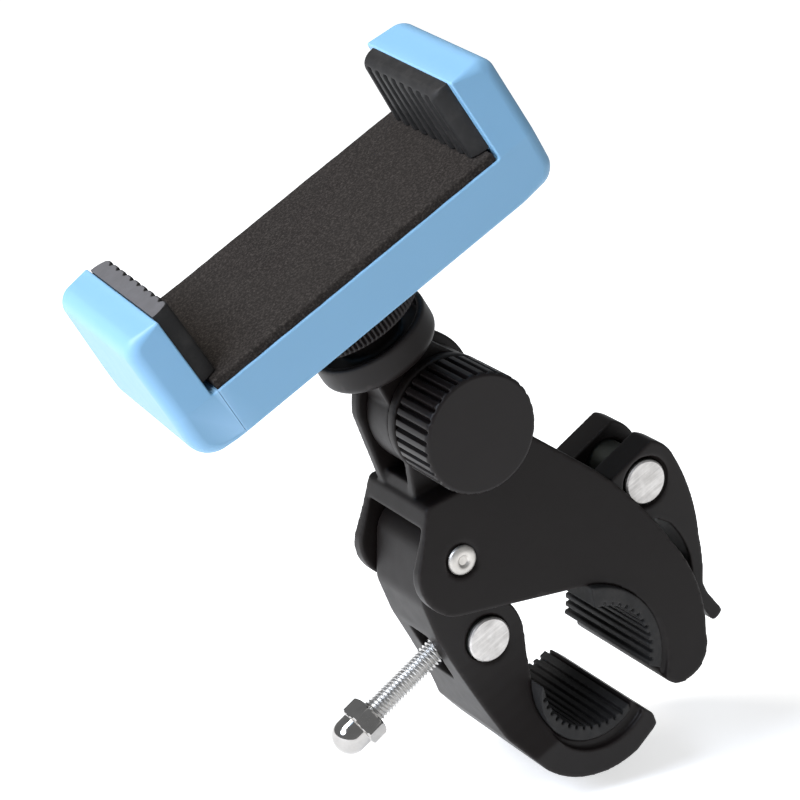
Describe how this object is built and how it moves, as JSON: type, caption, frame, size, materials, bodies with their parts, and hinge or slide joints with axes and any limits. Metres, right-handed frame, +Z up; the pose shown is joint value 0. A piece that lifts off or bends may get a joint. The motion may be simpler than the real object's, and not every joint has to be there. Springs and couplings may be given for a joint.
{
  "type": "phone mount",
  "caption": "Handlebar phone mount: screw-and-cam bar clamp with two hinged jaws, tilting head with a ribbed knob and lock wheel, and a spring-closed phone grip.",
  "frame": {"origin": "centre of the clamped handlebar, midway along the jaws", "axes": "+Z up, +Y along the handlebar and through both pivot pins, +X forwards from the rider; the phone faces up and towards -X"},
  "size_m": [0.1338, 0.0426, 0.1511],
  "materials": {
    "black_plastic": "satin",
    "black_rubber": "matte",
    "steel": "brushed",
    "zinc_steel": "satin",
    "chrome": "polished",
    "blue_plastic": "matte",
    "foam": "matte",
    "brass": "satin"
  },
  "bodies": {
    "clamp_body": {"upper_jaw": "black_plastic", "upper_jaw_pad": "black_rubber", "pivot_rivet": "steel", "clevis_nut": "steel"},
    "lower_jaw_arm": {"lower_jaw": "black_plastic", "lower_jaw_pad": "black_rubber"},
    "barrel": {"barrel_nut": "steel"},
    "pin": {"lever_pin": "steel"},
    "screw": {"clamp_screw": "zinc_steel", "acorn_nut": "chrome"},
    "lever": {"cam_lever": "black_plastic"},
    "knob": {"tilt_knob": "black_plastic", "knob_screw": "zinc_steel", "knob_washer": "zinc_steel"},
    "head": {"tilt_head": "black_plastic", "head_stud": "zinc_steel"},
    "wheel": {"lock_wheel": "black_plastic"},
    "holder": {"holder_frame": "blue_plastic", "holder_insert": "brass", "foam_pad": "foam", "fixed_arm_pad": "black_rubber", "spring_post": "steel", "arm_spring": "zinc_steel"},
    "slider": {"sliding_arm": "blue_plastic", "sliding_arm_pad": "black_rubber"}
  },
  "joints": [
    {"name": "screw_swing", "type": "hinge", "parent": "clamp_body", "child": "pin", "pos_m": [0.0142, 0, 0.0347], "axis": [0, 1, 0], "range_deg": [-0.6, 2.4]},
    {"name": "screw_turn", "type": "hinge", "parent": "pin", "child": "screw", "pos_m": [-0.0221, 0, 0.0086], "axis": [0.8119, 0, 0.5838], "range_deg": [-360, 2160]},
    {"name": "jaw_pivot", "type": "hinge", "parent": "clamp_body", "child": "lower_jaw_arm", "pos_m": [-0.0301, 0, 0.0279], "axis": [0, 1, 0], "range_deg": [-3, 15]},
    {"name": "barrel_swivel", "type": "hinge", "parent": "lower_jaw_arm", "child": "barrel", "pos_m": [-0.0221, 0, 0.0086], "axis": [0, 1, 0], "range_deg": [-13, 3]},
    {"name": "lever_open", "type": "hinge", "parent": "clamp_body", "child": "lever", "pos_m": [0.0142, 0, 0.0347], "axis": [0, -1, 0], "range_deg": [0, 120]},
    {"name": "knob_turn", "type": "hinge", "parent": "clamp_body", "child": "knob", "pos_m": [-0.0295, 0, 0.0552], "axis": [0, -1, 0], "continuous": true},
    {"name": "head_tilt", "type": "hinge", "parent": "clamp_body", "child": "head", "pos_m": [-0.0295, 0, 0.0552], "axis": [0, 1, 0], "range_deg": [-50, 50]},
    {"name": "lock_wheel_turn", "type": "hinge", "parent": "head", "child": "wheel", "pos_m": [-0.0316, 0, 0.05385], "axis": [-0.5402, 0, 0.8415], "continuous": true},
    {"name": "holder_turn", "type": "hinge", "parent": "head", "child": "holder", "pos_m": [-0.0316, 0, 0.05385], "axis": [-0.5402, 0, 0.8415], "range_deg": [-180, 180]},
    {"name": "arm_slide", "type": "slide", "parent": "holder", "child": "slider", "axis": [-0.8399, 0.061, -0.5392], "range_m": [0, 0.025], "stiffness_N_per_m": 300, "springref_m": -0.01, "deforming": ["arm_spring"]}
  ],
  "couplings": [
    {"joint": "jaw_pivot", "follows": "screw_turn", "ratio": 0.0064671},
    {"joint": "screw_swing", "follows": "screw_turn", "ratio": 0.00093961},
    {"joint": "barrel_swivel", "follows": "screw_turn", "ratio": -0.0055275}
  ]
}
